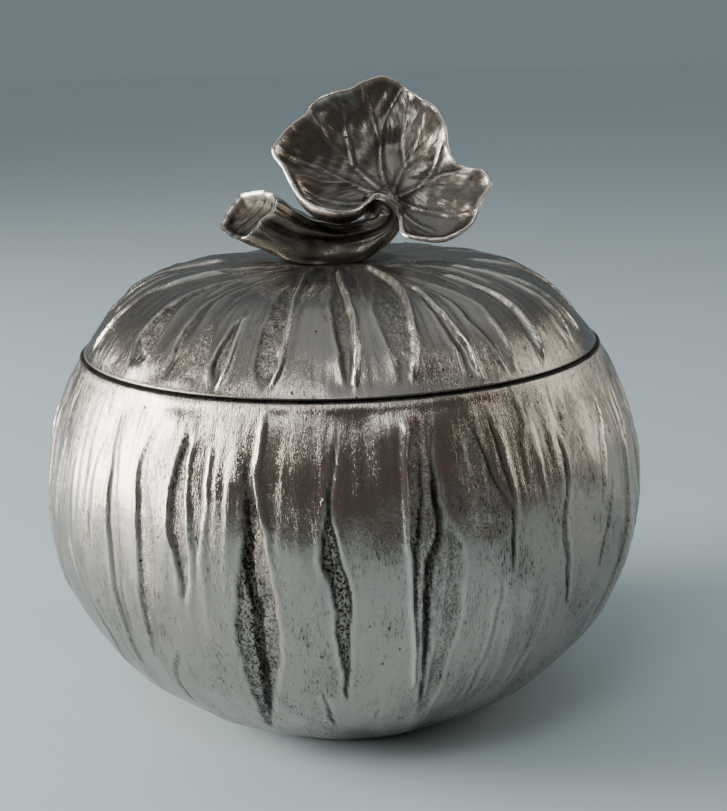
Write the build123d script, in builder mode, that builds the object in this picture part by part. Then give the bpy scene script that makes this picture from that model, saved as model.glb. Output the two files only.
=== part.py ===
from build123d import *
from math import asin, cos, degrees, radians, sin, sqrt
import os

# A lidded sugar bowl cast in pewter in the shape of a ripe pumpkin. The bowl is a squat globe, the lid
# carries the globe on to a low crown, and the lid's finial is a cut pumpkin stem that curls up into the
# notch of a cupped leaf. Millimetres, +Z up. The origin is the centre of the foot, on the table.

# Bowl: two half ellipses that meet at the belly, cut flat at the foot and at the rim
BELLY_RADIUS = 60.0
BELLY_HEIGHT = 44.5
FOOT_INSET = 32.6  # how much smaller the foot's radius is than the belly's
RIM_INSET = 8.6  # how much smaller the rim's radius is than the belly's
RIM_HEIGHT = 74.4
BOWL_WALL = 2.2
FLOOR = 2.5
RIM_LAND = 3.4  # width of the flat rim that the lid rests on
RIM_BREAK = 0.5  # rounding of the rim's outer edge
MOUTH_DEPTH = 4.0  # straight bore under the rim
MOUTH_TAPER = 4.4  # height in which that bore opens out to the wall

# Base disc: a stepped plate that closes the hole through which the casting core was held
FOOT_LAND = 6.0  # width of the flat foot around the disc
REBATE_WIDTH = 4.0
REBATE_DEPTH = 1.2
DISC_RECESS = 0.2  # how far the disc stays above the table
SOLDER_GAP = 0.05

# Lid: a low dome on a flat rim
LID_INSET = 0.5  # how much smaller the lid's rim is than the bowl's
LID_RISE = 16.4  # from the rim to the crown
LID_WALL = 2.0
RIM_SLOPE = 55.6  # degrees at which the dome leaves the rim
SHOULDER = 18.0  # handle of the dome's curve at the rim, outside
SHOULDER_INSIDE = 13.4  # the same, inside
CROWN_INSET = 14.9  # from the rim's radius to the handle of the dome's curve at the crown
LID_BREAK = 0.4  # rounding of the rim's outer edge
SEAT_RADIUS = 10.5  # flat on the crown for the finial's foot
SEAT_SINK = 0.6
BOSS_RADIUS = 7.0  # thick place under the crown for the screw
BOSS_HEIGHT = 1.2

# Lid ring: soldered into the lid, it drops into the bowl's mouth and centres the lid
RING_CLEARANCE = 0.4
RING_THICKNESS = 1.6
RING_DROP = 5.0  # how far the ring reaches into the mouth
RING_SEAT = 2.0  # how far the ring is let into the lid
RING_LEDGE = 0.5  # ledge in the lid that stops the ring
RING_BREAK = 0.4

# Screw and washer that draw the finial down on the lid, put in from below
SCREW_RADIUS = 2.0
SCREW_LENGTH = 8.0
SCREW_HOLE_CLEARANCE = 0.3
THREAD_CLEARANCE = 0.05
TIP_SPACE = 0.8  # free depth of the tapped hole above the screw's tip
TIP_BREAK = 0.4
HEAD_RADIUS = 3.9
HEAD_HEIGHT = 2.4
HEAD_ROUNDING = 1.0
SLOT_WIDTH = 1.0
SLOT_DEPTH = 1.1
WASHER_RADIUS = 6.0
WASHER_THICKNESS = 1.0

# Stem: round sections on its centre line, each as x, y, height above the lid's seat, and radius. The
# curl at its thin end goes on from the last section of the stem
STEM_SECTIONS = [
    (-22.0, -1.0, 12.6, 5.8),
    (-14.8, -1.0, 8.5, 5.3),
    (-8.0, -1.0, 5.1, 4.5),
    (-0.5, -0.6, 3.9, 3.8),
    (5.4, -1.0, 4.8, 3.2),
    (9.8, -1.8, 7.0, 2.7),
]
CURL_SECTIONS = [
    (11.0, -2.2, 9.5, 2.2),
    (9.6, -2.1, 11.3, 1.7),
    (7.5, -1.1, 11.9, 1.4),
    (6.5, 0.2, 11.5, 1.1),
]
CUT_PLACE = (-17.6, -1.0, 9.8)  # middle of the slanting cut, with its height above the seat
CUT_NORMAL = (-0.55, -0.50, 0.67)
CUT_HOLLOW = 0.7  # depth of the dished cut face
CUT_HOLLOW_RADIUS = 11.0
PAD_LENGTH = 18.0  # oval foot of the stem
PAD_WIDTH = 8.0
PAD_HEIGHT = 2.6

# Leaf: a lobed blade cut from a thin spherical cup that leans back. Its outline runs in the leaf's own
# plane, across and up from the place where the stem meets it
LEAF_PLACE = (10.5, -2.0, 11.3)  # with its height above the seat
LEAF_LEAN = 30.0
LEAF_THICKNESS = 1.3
LEAF_SPAN = 12.0  # the outline is cut this far before and behind the leaf's own plane
CUP_RADIUS = 29.0
CUP_MIDDLE = (-1.5, 9.5)  # deepest point of the cup, in the leaf's own plane
CUP_DEPTH = 2.4  # how far that point lies behind the leaf's own plane
LEAF_OUTLINE = [
    (-3.6, 1.6), (-5.8, -0.4), (-8.0, -2.8), (-12.0, -3.4), (-17.0, -0.8), (-20.0, 4.0), (-22.2, 9.2),
    (-17.4, 15.0), (-15.0, 20.0), (-8.6, 22.4), (-3.6, 25.2), (-0.2, 26.2), (6.2, 21.6), (10.4, 17.4),
    (11.6, 9.4), (16.4, 5.0), (19.4, 1.4), (15.4, -6.6), (8.6, -10.2), (3.8, -8.6), (3.2, -3.6), (1.2, 1.2),
]

# What follows from the values above
rim_radius = BELLY_RADIUS - RIM_INSET
foot_radius = BELLY_RADIUS - FOOT_INSET
mouth_radius = rim_radius - RIM_LAND
mouth_bottom = RIM_HEIGHT - MOUTH_DEPTH
below_belly = BELLY_HEIGHT / sqrt(1 - (foot_radius / BELLY_RADIUS) ** 2)
above_belly = (RIM_HEIGHT - BELLY_HEIGHT) / sqrt(1 - (rim_radius / BELLY_RADIUS) ** 2)
disc_radius = foot_radius - FOOT_LAND
core_hole_radius = disc_radius - REBATE_WIDTH
lid_radius = rim_radius - LID_INSET
crown_height = RIM_HEIGHT + LID_RISE
seat_height = crown_height - SEAT_SINK
boss_underside = crown_height - LID_WALL - BOSS_HEIGHT
ring_radius = mouth_radius - RING_CLEARANCE
ring_top = RIM_HEIGHT + RING_SEAT
screw_hole_radius = SCREW_RADIUS + SCREW_HOLE_CLEARANCE
head_seat = boss_underside - WASHER_THICKNESS
screw_tip = head_seat + SCREW_LENGTH


def globe_arcs(inset, low, high):
    """Draws the globe's outline, or one inside it, from one height down to another; returns its ends."""
    ends = []
    for half_height, top, bottom in (
        (above_belly - inset, high, BELLY_HEIGHT),
        (below_belly - inset, BELLY_HEIGHT, low),
    ):
        start, end = (degrees(asin((height - BELLY_HEIGHT) / half_height)) for height in (top, bottom))
        arc = EllipticalCenterArc(
            (0, BELLY_HEIGHT), BELLY_RADIUS - inset, half_height, start, arc_size=end - start
        )
        ends += [arc @ 0, arc @ 1]
    return ends[0], ends[-1]


def dome_curve(crown, handle, rim):
    """Draws the dome's outline from its crown down to a point on its rim."""
    slope = radians(RIM_SLOPE)
    shoulder = (rim[0] - handle * cos(slope), rim[1] + handle * sin(slope))
    return Bezier((0, crown), (lid_radius - CROWN_INSET, crown), shoulder, rim)


def above_seat(place):
    """A point of the finial, given with its height above the lid's seat, in the bowl's frame."""
    return Vector(place[0], place[1], place[2] + seat_height)


with BuildPart() as bowl_shell:
    with BuildSketch(Plane.XZ):
        with BuildLine():
            rim_edge, foot_edge = globe_arcs(0, 0, RIM_HEIGHT)
            Polyline(rim_edge, (0, RIM_HEIGHT), (0, 0), foot_edge)
        make_face()
    revolve(axis=Axis.Z)
    with BuildSketch(Plane.XZ):
        with BuildLine():
            shoulder_edge, floor_edge = globe_arcs(BOWL_WALL, FLOOR, mouth_bottom - MOUTH_TAPER)
            Polyline(
                shoulder_edge, (mouth_radius, mouth_bottom), (mouth_radius, RIM_HEIGHT),
                (0, RIM_HEIGHT), (0, FLOOR), floor_edge,
            )
        make_face()
    revolve(axis=Axis.Z, mode=Mode.SUBTRACT)
    with BuildSketch(Plane.XY):
        Circle(disc_radius)
    extrude(amount=REBATE_DEPTH, mode=Mode.SUBTRACT)
    with BuildSketch(Plane.XY.offset(REBATE_DEPTH)):
        Circle(core_hole_radius)
    extrude(amount=FLOOR - REBATE_DEPTH, mode=Mode.SUBTRACT)
    fillet(bowl_shell.edges().group_by(Axis.Z)[-1].sort_by(SortBy.RADIUS)[-1], RIM_BREAK)
bowl_shell.part.label = "bowl_shell"

with BuildPart() as base_disc:
    with BuildSketch(Plane.XY.offset(DISC_RECESS)):
        Circle(disc_radius - SOLDER_GAP)
    extrude(amount=REBATE_DEPTH - DISC_RECESS)
    with BuildSketch(Plane.XY.offset(REBATE_DEPTH)):
        Circle(core_hole_radius - SOLDER_GAP)
    extrude(amount=FLOOR - REBATE_DEPTH)
base_disc.part.label = "base_disc"

with BuildPart() as lid_shell:
    with BuildSketch(Plane.XZ):
        with BuildLine():
            outside = dome_curve(crown_height, SHOULDER, (lid_radius, RIM_HEIGHT))
            inside = dome_curve(crown_height - LID_WALL, SHOULDER_INSIDE, (ring_radius - RING_LEDGE, ring_top))
            bore_radius = ring_radius + SOLDER_GAP
            Polyline(outside @ 1, (bore_radius, RIM_HEIGHT), (bore_radius, ring_top), inside @ 1)
            Line(inside @ 0, outside @ 0)
        make_face()
    revolve(axis=Axis.Z)
    fillet(lid_shell.edges().group_by(Axis.Z)[0].sort_by(SortBy.RADIUS)[-1], LID_BREAK)
    with BuildSketch(Plane.XY.offset(boss_underside)):
        Circle(BOSS_RADIUS)
    extrude(amount=BOSS_HEIGHT + LID_WALL / 2)
    with BuildSketch(Plane.XY.offset(seat_height)):
        Circle(SEAT_RADIUS)
    extrude(amount=2 * SEAT_SINK, mode=Mode.SUBTRACT)
    with BuildSketch(Plane.XY.offset(boss_underside)):
        Circle(screw_hole_radius)
    extrude(amount=crown_height - boss_underside, mode=Mode.SUBTRACT)
lid_shell.part.label = "lid_shell"

with BuildPart() as lid_ring:
    with BuildSketch(Plane.XY.offset(RIM_HEIGHT - RING_DROP)):
        Circle(ring_radius)
        Circle(ring_radius - RING_THICKNESS, mode=Mode.SUBTRACT)
    extrude(amount=RING_DROP + RING_SEAT)
    chamfer(lid_ring.edges().group_by(Axis.Z)[0].sort_by(SortBy.RADIUS)[-1], RING_BREAK)
lid_ring.part.label = "lid_ring"

with BuildPart() as finial_stem:
    with BuildLine():
        centre_line = Spline(*[above_seat(section) for section in STEM_SECTIONS + CURL_SECTIONS])
    for run in (STEM_SECTIONS, STEM_SECTIONS[-1:] + CURL_SECTIONS):
        for section in run:
            along = centre_line.tangent_at(above_seat(section))
            with BuildSketch(Plane(above_seat(section), x_dir=(0, 1, 0), z_dir=along)):
                Circle(section[3])
        loft()
    cut_plane = Plane(above_seat(CUT_PLACE), z_dir=CUT_NORMAL)
    split(bisect_by=cut_plane, keep=Keep.BOTTOM)
    with Locations(cut_plane.from_local_coords((0, 0, CUT_HOLLOW_RADIUS - CUT_HOLLOW))):
        Sphere(CUT_HOLLOW_RADIUS, mode=Mode.SUBTRACT)
    with BuildSketch(Plane.XY.offset(seat_height)):
        Ellipse(PAD_LENGTH / 2, PAD_WIDTH / 2)
    extrude(amount=PAD_HEIGHT)
    split(bisect_by=Plane.XY.offset(seat_height), keep=Keep.TOP)
    with BuildSketch(Plane.XY.offset(seat_height)):
        Circle(SCREW_RADIUS + THREAD_CLEARANCE)
    extrude(amount=screw_tip + TIP_SPACE - seat_height, mode=Mode.SUBTRACT)
finial_stem.part.label = "finial_stem"

lean = radians(LEAF_LEAN)
leaf_plane = Plane(above_seat(LEAF_PLACE), x_dir=(1, 0, 0), z_dir=(0, -cos(lean), sin(lean)))
with BuildPart() as finial_leaf:
    with BuildSketch(leaf_plane):
        with BuildLine():
            Spline(*LEAF_OUTLINE, periodic=True)
        make_face()
    extrude(amount=LEAF_SPAN, both=True)
    with Locations(leaf_plane.from_local_coords((*CUP_MIDDLE, CUP_RADIUS - CUP_DEPTH))):
        Sphere(CUP_RADIUS + LEAF_THICKNESS, mode=Mode.INTERSECT)
        Sphere(CUP_RADIUS, mode=Mode.SUBTRACT)
finial_leaf.part.label = "finial_leaf"

with BuildPart() as finial_screw:
    with BuildSketch(Plane.XY.offset(head_seat - HEAD_HEIGHT)):
        Circle(HEAD_RADIUS)
    extrude(amount=HEAD_HEIGHT)
    fillet(finial_screw.edges().group_by(Axis.Z)[0], HEAD_ROUNDING)
    with BuildSketch(Plane.XY.offset(head_seat - HEAD_HEIGHT)):
        Rectangle(2 * HEAD_RADIUS, SLOT_WIDTH)
    extrude(amount=SLOT_DEPTH, mode=Mode.SUBTRACT)
    with BuildSketch(Plane.XY.offset(head_seat)):
        Circle(SCREW_RADIUS)
    extrude(amount=SCREW_LENGTH)
    chamfer(finial_screw.edges().group_by(Axis.Z)[-1], TIP_BREAK)
finial_screw.part.label = "finial_screw"

with BuildPart() as finial_washer:
    with BuildSketch(Plane.XY.offset(head_seat)):
        Circle(WASHER_RADIUS)
        Circle(screw_hole_radius, mode=Mode.SUBTRACT)
    extrude(amount=WASHER_THICKNESS)
finial_washer.part.label = "finial_washer"

os.makedirs("parts", exist_ok=True)
for piece in (
    bowl_shell, base_disc, lid_shell, lid_ring, finial_stem, finial_leaf, finial_screw, finial_washer,
):
    export_step(piece.part, f"parts/{piece.part.label}.step")
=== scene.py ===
# A pumpkin-shaped pewter sugar bowl with a lifting lid. Its sizes and places are the frame's own solids'.
from math import cos, pi, radians, sin, sqrt

import bpy
import numpy as np
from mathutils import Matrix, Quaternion, Vector


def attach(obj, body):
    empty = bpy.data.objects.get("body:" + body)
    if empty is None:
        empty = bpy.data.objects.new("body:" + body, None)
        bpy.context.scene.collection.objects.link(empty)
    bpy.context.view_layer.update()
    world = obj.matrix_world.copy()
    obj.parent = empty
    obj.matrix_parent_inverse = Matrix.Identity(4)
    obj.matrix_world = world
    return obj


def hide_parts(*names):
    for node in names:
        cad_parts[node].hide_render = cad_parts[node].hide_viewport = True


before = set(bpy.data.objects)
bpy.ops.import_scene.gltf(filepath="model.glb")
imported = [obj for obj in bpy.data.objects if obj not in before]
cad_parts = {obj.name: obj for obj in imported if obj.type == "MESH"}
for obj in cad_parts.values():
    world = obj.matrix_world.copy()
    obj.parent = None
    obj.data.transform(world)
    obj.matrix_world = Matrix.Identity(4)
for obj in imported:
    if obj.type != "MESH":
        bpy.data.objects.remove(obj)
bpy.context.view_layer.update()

# --- Camera ---
# A short telephoto a little above the lid and close to the bowl, as one looks at it across a table. It
# leans by a degree and a half. Places and sizes all through are in mm, and MM turns them to metres.
MM = 0.001
CAMERA_PLACE = Vector((0, -276.2, 132.3)) * MM
CAMERA_TARGET = Vector((4.31, 0, 60.32)) * MM
CAMERA_LEAN = radians(-1.51)
LENS, FILM, NEAREST = 62.15, 36, 10

look = (CAMERA_TARGET - CAMERA_PLACE).to_track_quat("-Z", "Y") @ Quaternion((0, 0, 1), CAMERA_LEAN)
bpy.ops.object.camera_add(location=CAMERA_PLACE, rotation=look.to_euler())
camera = bpy.context.object
camera.data.lens = LENS
camera.data.sensor_width = FILM
camera.data.clip_start = NEAREST * MM
bpy.context.scene.camera = camera

# --- Light ---
# A softbox stands close by on the left as a window would, with a narrow one on the right and a small
# one high in front. The room is warm grey, turning blue-grey towards the back and pale overhead. Lamps
# are placed and sized in metres.
BOWL_MIDDLE = Vector((0, 0, 55)) * MM
WALL_FRONT, WALL_BACK, CEILING = "#665E59", "#717C81", "#CBD2D6"
BACK_FADE, CEILING_FADE = (0.1, 0.8), (0.62, 0.95)  # how far to the back and up a direction points


def linear(code):
    """An sRGB hex colour as the linear red, green, blue and alpha that a shader takes."""
    parts = [int(code[i:i + 2], 16) / 255 for i in (1, 3, 5)]
    return [c / 12.92 if c <= 0.04045 else ((c + 0.055) / 1.055) ** 2.4 for c in parts] + [1]


def softbox(name, place, size, power, tint):
    """A rectangular lamp that faces the bowl, with its power in watts."""
    aim = (BOWL_MIDDLE - Vector(place)).to_track_quat("-Z", "Y")
    bpy.ops.object.light_add(type="AREA", location=place, rotation=aim.to_euler())
    lamp = bpy.context.object
    lamp.name = name
    lamp.data.shape = "RECTANGLE"
    lamp.data.size, lamp.data.size_y = size
    lamp.data.energy = power
    lamp.data.color = linear(tint)[:3]


softbox("window_light", (-0.80, -0.02, 0.25), (0.46, 0.48), 19.0, "#FFFAF2")
softbox("side_light", (0.70, 0.16, 0.30), (0.10, 0.50), 1.4, "#FFF8EC")
softbox("top_light", (-0.18, -0.58, 0.72), (0.30, 0.20), 1.6, "#FFFFFF")


def node(tree, kind, *values, output=0, **named):
    """Adds a node and gives one of its outputs. The values go to its inputs in order. A name in capitals
    is an input, one with an underscore is an input's number, and any other is a setting."""
    made = tree.nodes.new("ShaderNode" + kind)
    places = list(zip(made.inputs, values))
    for name, value in named.items():
        if name[0].islower():
            setattr(made, name, value)
        else:
            places.append((made.inputs[int(name[1:]) if name[0] == "_" else name], value))
    for place, value in places:
        if isinstance(value, bpy.types.NodeSocket):
            tree.links.new(value, place)
        else:
            place.default_value = value
    return made.outputs[output]


SMOOTH = {"interpolation_type": "SMOOTHSTEP"}
COLOURS = {"data_type": "RGBA", "output": 2}  # a mix of two colours, its inputs 6 and 7
room = bpy.data.worlds.new("dim_room")
room.use_nodes = True
tree = room.node_tree
toward = node(tree, "SeparateXYZ", node(tree, "TexCoord", output="Generated")).node.outputs
behind, above = (
    node(tree, "MapRange", toward[axis], low, high, **SMOOTH)
    for axis, (low, high) in (("Y", BACK_FADE), ("Z", CEILING_FADE))
)
walls = node(tree, "Mix", behind, **COLOURS, _6=linear(WALL_FRONT), _7=linear(WALL_BACK))
ceiling = node(tree, "Mix", above, **COLOURS, _6=walls, _7=linear(CEILING))
tree.links.new(ceiling, tree.nodes["Background"].inputs["Color"])
bpy.context.scene.world = room

# --- Table top ---
# Pale matt laminate, 12 m wide. It fills the view, and its light shows in the bowl's lower half.
TABLE_WIDTH, LAMINATE, LAMINATE_ROUGH = 12, "#B4C7CF", 0.55
bpy.ops.mesh.primitive_plane_add(size=TABLE_WIDTH)
table = bpy.context.object
table.name = "table_top"
laminate = bpy.data.materials.new("matt_laminate")
laminate.use_nodes = True
coat = laminate.node_tree.nodes["Principled BSDF"]
coat.inputs["Base Color"].default_value = linear(LAMINATE)
coat.inputs["Roughness"].default_value = LAMINATE_ROUGH
table.data.materials.append(laminate)

# --- Bowl ---
# The globe, cast in pewter with its foot and rim, and turned smooth inside. Long gouges run down it like
# the furrows of a ripe pumpkin, with a punched ground and a raised lip. Turns are in degrees from the
# front.
BELLY, BELLY_Z = 60.0, 44.5
FOOT, RIM, RIM_Z = 27.4, 51.4, 74.4
WALL, FLOOR_Z = 2.2, 2.5
MOUTH, MOUTH_Z, MOUTH_TAPER = 48.0, 70.4, 4.4
REBATE, REBATE_Z, CORE_HOLE = 21.4, 1.2, 17.4
SKIN_DEPTH = 0.35  # the open skin lies this far in, so that lips and dents stay inside the belly
BOWL_AROUND = 840
MOST_CUTS = 100  # an edge is cut this often in one go, so a longer tube is cut again


def ring_tube(name, around, rings, ends="NOTHING"):
    """A tube of that many rings, with the ring and column number of each vertex, for shaping."""
    bpy.ops.object.select_all(action="DESELECT")
    bpy.ops.mesh.primitive_cylinder_add(vertices=around, radius=1, depth=1, end_fill_type=ends)
    tube = bpy.context.object
    tube.name = tube.data.name = name
    again = next(n for n in range(1, rings) if (rings - 1) % n == 0 and (rings - 1) // n <= MOST_CUTS)
    for cuts in ((rings - 1) // again - 1, again - 1):
        if cuts == 0:
            continue
        bpy.ops.object.mode_set(mode="EDIT")
        bpy.ops.mesh.select_mode(type="EDGE")
        bpy.ops.mesh.select_all(action="DESELECT")
        bpy.ops.object.mode_set(mode="OBJECT")
        for edge in tube.data.edges:
            low, high = (tube.data.vertices[v].co.z for v in edge.vertices)
            edge.select = abs(high - low) > 0.001
        bpy.ops.object.mode_set(mode="EDIT")
        bpy.ops.mesh.subdivide(number_cuts=cuts)
        bpy.ops.object.mode_set(mode="OBJECT")
    spots = np.empty(len(tube.data.vertices) * 3)
    tube.data.vertices.foreach_get("co", spots)
    x, y, z = spots.reshape(-1, 3).T
    ring = np.rint((z + 0.5) * (rings - 1)).astype(int)
    column = np.rint(np.arctan2(x, -y) / (2 * pi) * around).astype(int) % around
    column[np.hypot(x, y) < 0.5] = -1  # the middle of a closed end
    return tube, ring, column


def place_vertices(tube, spots):
    """Moves the vertices to these places in mm and smooths the shading."""
    tube.data.vertices.foreach_set("co", (np.asarray(spots) * MM).ravel())
    tube.data.update()
    bpy.ops.object.select_all(action="DESELECT")
    tube.select_set(True)
    bpy.context.view_layer.objects.active = tube
    bpy.ops.object.shade_smooth()


def round_places(reach, height, ring, column):
    """Where each vertex goes, from its distance from the axis and its height by ring and column."""
    turn, out = 2 * pi * column / reach.shape[1], reach[ring, column]
    return np.stack([out * np.sin(turn), -out * np.cos(turn), height[ring, column]], 1)


def leave_marks(tube, grain, **marks):
    """Stores what the finish reads: the grain in mm, and one number for each vertex under each name."""
    for name, values in marks.items():
        made = tube.data.attributes.new(name, "FLOAT", "POINT")
        made.data.foreach_set("value", np.asarray(values, np.float32))
    made = tube.data.attributes.new("grain", "FLOAT_VECTOR", "POINT")
    made.data.foreach_set("vector", (np.asarray(grain) * MM).astype(np.float32).ravel())


def smooth_line(x, knots, values):
    """A curve through the values at the knots, with no corner at them."""
    knots, values = np.asarray(knots, float), np.asarray(values, float)
    slope = np.gradient(values, knots)
    i = np.clip(np.searchsorted(knots, x) - 1, 0, len(knots) - 2)
    gap = knots[i + 1] - knots[i]
    t = np.clip((x - knots[i]) / gap, 0, 1)
    start = (1 + 2 * t) * (1 - t) ** 2 * values[i] + t * (1 - t) ** 2 * gap * slope[i]
    return start + t * t * (3 - 2 * t) * values[i + 1] + t * t * (t - 1) * gap * slope[i + 1]


def travel_along(points):
    """How far each point of a run lies from its first, along it."""
    return np.concatenate([[0], np.cumsum(np.linalg.norm(np.diff(points, axis=0), axis=1))])


def even_spacing(points, count):
    """That many points spread evenly along a run of points."""
    points = np.array(points, float)
    travel = travel_along(points)
    spread = np.linspace(0, travel[-1], count)
    return np.stack([np.interp(spread, travel, column) for column in points.T], 1)


def worked(shape, step, size, seed):
    """Random hand work over the rings, spread 1: marks this long and wide in mm, closed round the piece.
    step is how far apart its rings and its columns are."""
    spare = 60  # rings past each end, so that the two ends don't match
    raw = np.random.default_rng(seed).standard_normal((shape[0] + 2 * spare, shape[1]))
    along = np.fft.fftfreq(raw.shape[0], step[0])[:, None] * size[0]
    around = np.fft.rfftfreq(raw.shape[1], step[1])[None, :] * size[1]
    kept = np.fft.rfft2(raw) * np.exp(-2 * (along ** 2 + around ** 2))
    made = np.fft.irfft2(kept, raw.shape)[spare:-spare]
    return made / made.std()


def step_between(x, low, high):
    """0 below low, 1 above high, and a soft step between."""
    t = np.clip((x - low) / (high - low), 0, 1)
    return t * t * (3 - 2 * t)


class Skin:
    """The outside of a ringed piece while it is carved: its relief in mm and its finish's marks."""
    NEAR, RUN_OUT = 4, 2.5  # how far from a groove it still works, and how far its ends take to run out
    WAVES = ((13, 0.16), (6.1, 0.12), (3.1, 0.07))  # the hand's wander: length and size
    LIP_AT, LIP_WIDE = -0.34, 0.42  # the lip, from the groove's edge
    CORNER_AT, CORNER_WIDE = 0.30, 0.34  # the dirt in its corner

    def __init__(self, along, reach, around):
        self.along = along[:, None]
        self.turn = (360 * np.arange(around) / around)[None, :]
        self.mm = np.maximum(np.radians(1) * reach[:, None], 0.05)
        self.shape = (len(along), around)
        self.relief, self.patina, self.worn, self.stipple = (np.zeros(self.shape) for _ in range(4))

    def gouge(self, line, depth=0.7, soft=(0.3, 0.3), lip=(0.1, 0.1), stipple=0.0, dark=0.8, ground=0.12,
              wander=1.0, seed=0):
        """Cuts a groove. line is its places along the piece, each with its left and right edge in
        degrees; soft is how gently each edge falls away, lip how far each stands up, and dark and
        ground how much patina its corners and its bottom keep."""
        line = np.array(sorted(line), float)
        inside = (self.along[:, 0] >= line[0, 0]) & (self.along[:, 0] <= line[-1, 0])
        if inside.sum() < 3:
            return
        draw = np.random.default_rng(seed + 100)
        near, mm = self.along[inside], self.mm[inside]
        ends = step_between(np.minimum(near - line[0, 0], line[-1, 0] - near), 0, self.RUN_OUT)
        shared = 0
        edges = []
        for side in (1, 2):
            wave = sum(np.sin(2 * pi * near / length + draw.uniform(0, 7)) * size
                       for length, size in self.WAVES)
            shared = shared + wave
            edges.append(smooth_line(near, line[:, 0], line[:, side]) + wander * shared / side * ends / mm)
        from_left, from_right = (
            ((turn + 180) % 360 - 180) * mm for turn in (self.turn - edges[0], edges[1] - self.turn)
        )
        close = (from_left > -self.NEAR) & (from_right > -self.NEAR)
        left, right = (1 - np.exp(-np.maximum(x, 0) / s) for x, s in zip((from_left, from_right), soft))
        sunk = left * right * ends * close
        self.relief[inside] -= depth * sunk
        for x, height in zip((from_left, from_right), lip):
            ridge = np.exp(-((x - self.LIP_AT) / self.LIP_WIDE) ** 2) * ends * close
            self.relief[inside] += 1.4 * height * ridge
            # a raised lip is lightened as wear, and this also paints part of its highlight
            self.worn[inside] = np.maximum(self.worn[inside], ridge * min(1, height * 3))
        corner = sum(
            np.exp(-((x - self.CORNER_AT) / self.CORNER_WIDE) ** 2) * (0.4 / (0.4 + s)) * 1.5
            for x, s in zip((from_left, from_right), soft)
        ) * (from_left > -0.5) * (from_right > -0.5)
        held = np.clip(ground * left * right + dark * corner, 0, 1) * ends * close
        self.patina[inside] = np.maximum(self.patina[inside], held)
        self.stipple[inside] = np.maximum(self.stipple[inside], stipple * sunk)

    def work_over(self, step, band, kinds):
        """Adds broad hollows, small dents and long strokes where the band is 1, and punches the ground
        of the gouges. kinds holds the height, size and seed of each, and step is as in worked."""
        hollows, dents, strokes, punched = (
            height * worked(self.shape, step, size, seed) for height, size, seed in kinds
        )
        self.relief += band * (hollows + dents + strokes) + punched * self.stipple

    def furrows(self, places, low, high, seed):
        """Cuts a run of grooves like the front's, each drawn from its own numbers."""
        for count, turn in enumerate(places):
            draw = np.random.default_rng(seed + count)
            bottom = low + draw.uniform(0, 0.55) * (high - low)
            top = high - draw.uniform(0, 0.25) * (high - bottom)
            kind = draw.integers(0, 4)
            width = (draw.uniform(5, 9), draw.uniform(2, 3.5), 1.0, draw.uniform(3, 5))[kind]
            lean, bow = draw.uniform(-2.5, 2.5), draw.uniform(-1.5, 1.5)
            line = []
            for t in np.linspace(0, 1, 7):
                wide = width * np.sin(pi * t ** draw.uniform(0.8, 1.1)) ** 0.8 + 0.6
                middle = turn + lean * (t - 0.5) + bow * np.sin(2 * pi * t)
                line.append((bottom + t * (top - bottom), middle - wide / 2, middle + wide / 2))
            side = draw.permutation(2)
            soft = np.array([(0.4, 0.4), (0.3, 1.0), (0.3, 0.3), (0.35, 2.6)][kind])[side]
            lip = np.array([(0.1, 0.35), (0.1, 0.25), (0.0, 0.15), (0.25, 0.0)][kind])[side]
            self.gouge(line, draw.uniform(0.45, 0.85), soft, lip, (1.0, 0.8, 0.0, 0.3)[kind],
                       (0.7, 0.8, 0.9, 0.8)[kind], (0.1, 0.2, 0.5, 0.05)[kind], seed=seed + count)


def globe_at(z, inset=0.0):
    """The globe's radius at a height, or that of a globe this far inside it."""
    edge, rise = (RIM, RIM_Z - BELLY_Z) if z > BELLY_Z else (FOOT, BELLY_Z)
    half = rise / sqrt(1 - (edge / BELLY) ** 2) - inset
    return (BELLY - inset) * sqrt(max(0, 1 - ((z - BELLY_Z) / half) ** 2))


foot_rings = [(CORE_HOLE, REBATE_Z), (REBATE - 0.1, REBATE_Z), (REBATE, REBATE_Z - 0.1),
              (REBATE, 0.1), (REBATE + 0.1, 0), (FOOT - 0.5, 0), (FOOT - 0.15, 0.04)]
globe_rings = even_spacing([(globe_at(z), z) for z in np.linspace(0.25, RIM_Z - 0.40, 400)], 82)
rim_rings = [(RIM - 0.06, RIM_Z - 0.24), (RIM - 0.34, RIM_Z - 0.13), (RIM - 0.9, RIM_Z)]
bowl_rings = np.concatenate([foot_rings, globe_rings, rim_rings])
wall_heights = np.linspace(FLOOR_Z + 0.3, MOUTH_Z - MOUTH_TAPER, 300)
wall_rings = even_spacing([(globe_at(z, WALL), z) for z in wall_heights], 19)
lining_rings = np.concatenate([
    [(CORE_HOLE, REBATE_Z + 0.1), (CORE_HOLE, FLOOR_Z - 0.1), (CORE_HOLE + 0.1, FLOOR_Z)], wall_rings,
    [(MOUTH + 0.3, MOUTH_Z - 0.4), (MOUTH, MOUTH_Z), (MOUTH, RIM_Z - 0.2), (MOUTH + 0.2, RIM_Z)],
])

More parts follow.
